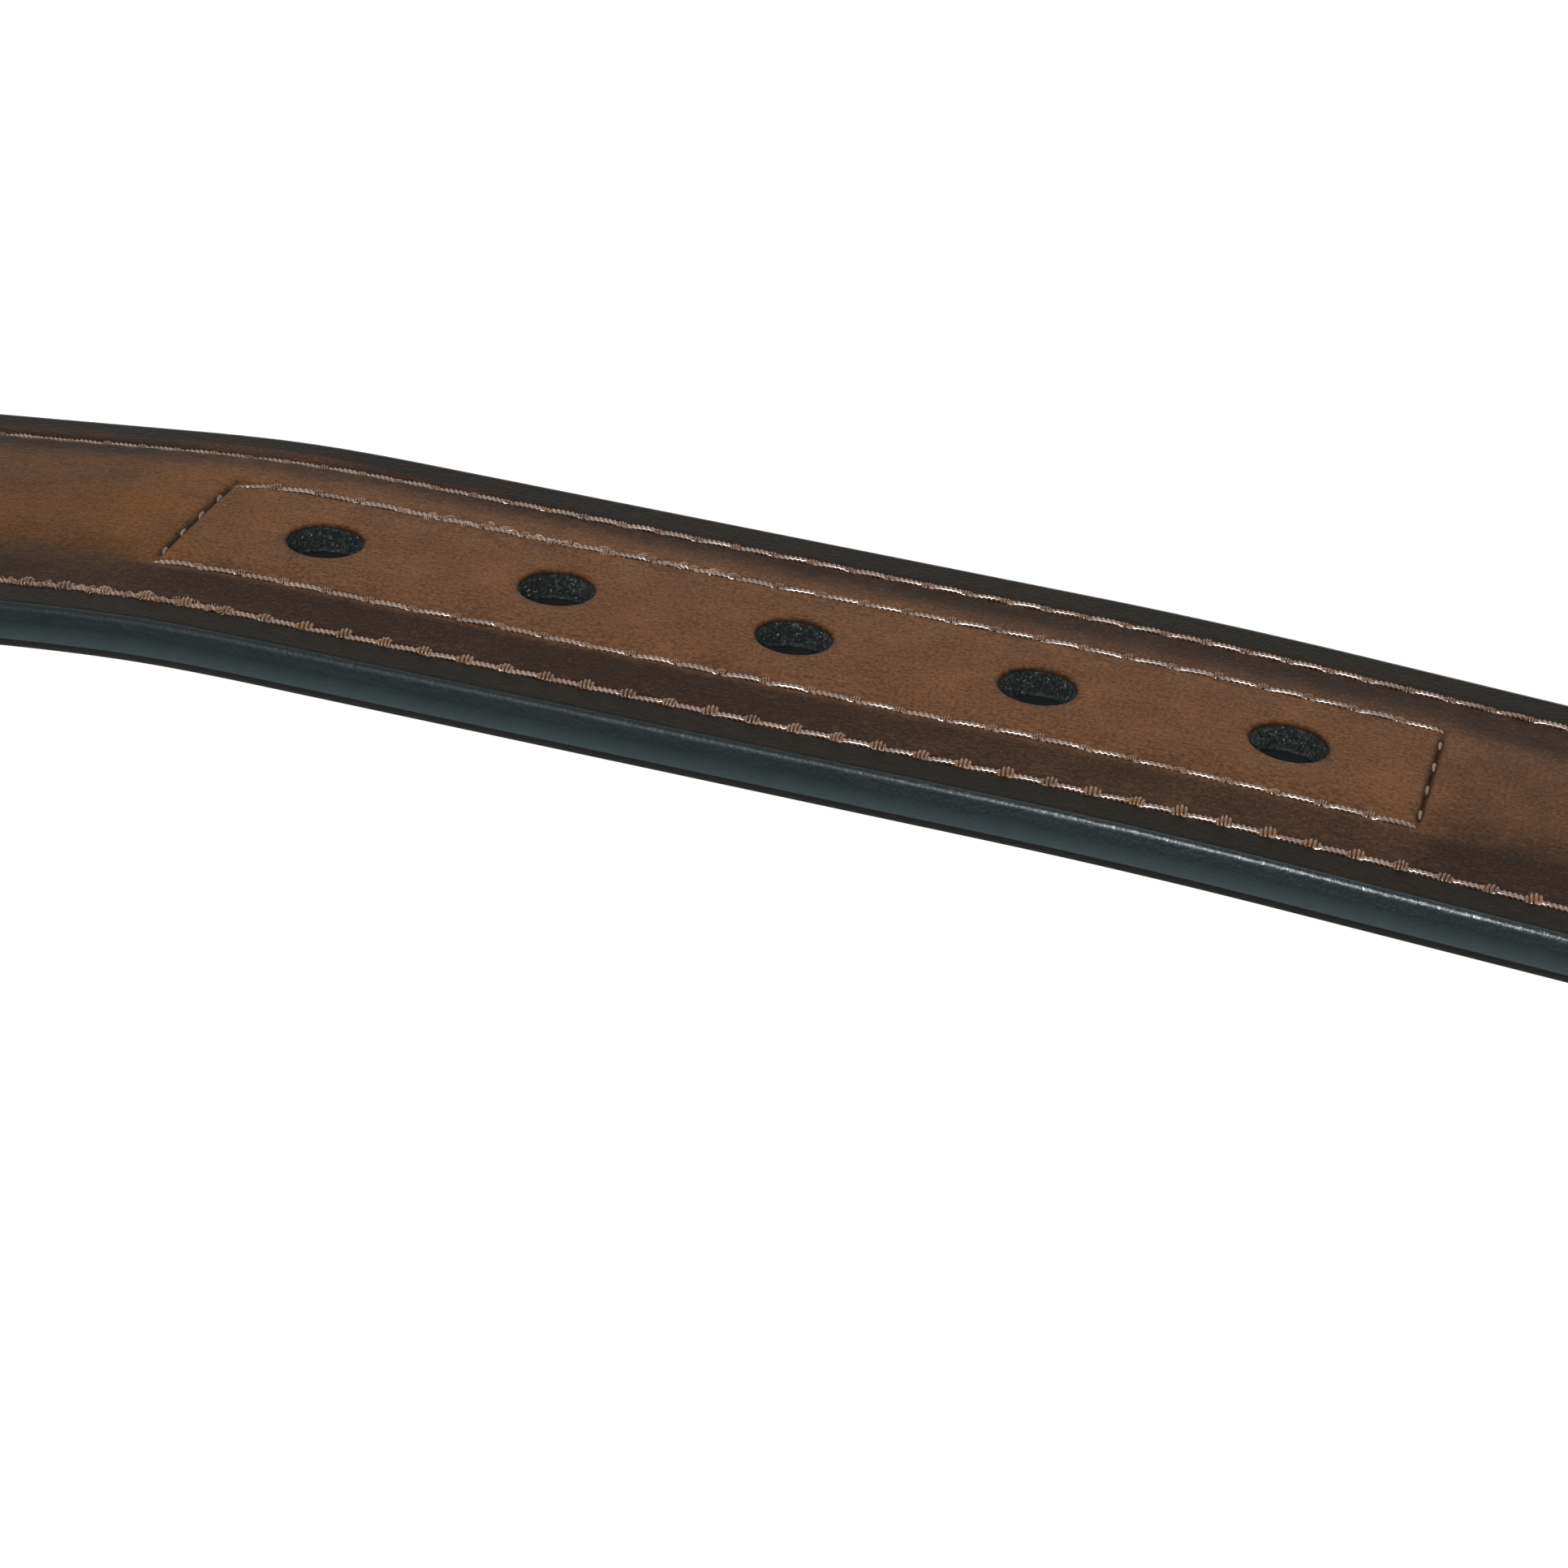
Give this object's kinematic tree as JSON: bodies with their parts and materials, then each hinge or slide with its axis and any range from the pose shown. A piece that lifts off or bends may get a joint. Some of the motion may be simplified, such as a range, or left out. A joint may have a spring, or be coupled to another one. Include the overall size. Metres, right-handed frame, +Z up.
{
  "type": "saddle girth",
  "caption": "Single-strap girth of padded, stitched leather with a boxed row of buckle holes, a roller buckle and two keepers.",
  "frame": {"origin": "on the ground under the middle of the whole object as it stands on its long edge", "axes": "+X along the row of holes away from the strap's point, -Y out of the face at the holes, +Z up across the strap's width"},
  "size_m": [0.4938, 0.2546, 0.0627],
  "materials": {
    "face_leather": "smooth, burnished dark at the edges",
    "core_fibre": "black bonded fibre",
    "lining_leather": "matt split leather",
    "filler_felt": "dense grey felt",
    "stay_tape": "woven tape",
    "thread": "waxed twisted thread",
    "nickel_steel": "nickel plated, lightly worn",
    "steel_wire": "drawn wire"
  },
  "bodies": {
    "strap": {"face_leather": "face_leather", "hole_core": "core_fibre", "strap_filler": "filler_felt", "hole_stay": "stay_tape", "lining_leather": "lining_leather", "edge_needle_thread": "thread", "edge_bobbin_thread": "thread", "box_needle_thread": "thread", "box_bobbin_thread": "thread", "turn_packing": "lining_leather", "screw_posts": "nickel_steel", "post_screws": "nickel_steel", "fixed_keeper": "face_leather", "fixed_keeper_staple": "steel_wire"},
    "buckle": {"buckle_frame": "nickel_steel", "heel_pin": "steel_wire"},
    "roller": {"buckle_roller": "nickel_steel"},
    "tongue": {"buckle_tongue": "nickel_steel"},
    "loop": {"sliding_keeper": "face_leather", "sliding_keeper_staple": "steel_wire"}
  },
  "joints": [
    {"name": "frame_swing", "type": "hinge", "parent": "strap", "child": "buckle", "pos_m": [-0.20483, 0.1144, 0.03125], "axis": [-0.0314, 0, -0.9995], "range_deg": [-90, 45]},
    {"name": "tongue_swing", "type": "hinge", "parent": "buckle", "child": "tongue", "pos_m": [-0.20483, 0.1144, 0.03125], "axis": [-0.0314, 0, -0.9995], "range_deg": [0, 90]},
    {"name": "roller_spin", "type": "hinge", "parent": "buckle", "child": "roller", "pos_m": [-0.24082, 0.1144, 0.03238], "axis": [0.0314, 0, 0.9995], "continuous": true},
    {"name": "keeper_slide", "type": "slide", "parent": "strap", "child": "loop", "axis": [0.9995, 0, -0.0314], "range_m": [-0.004, 0.12]}
  ]
}
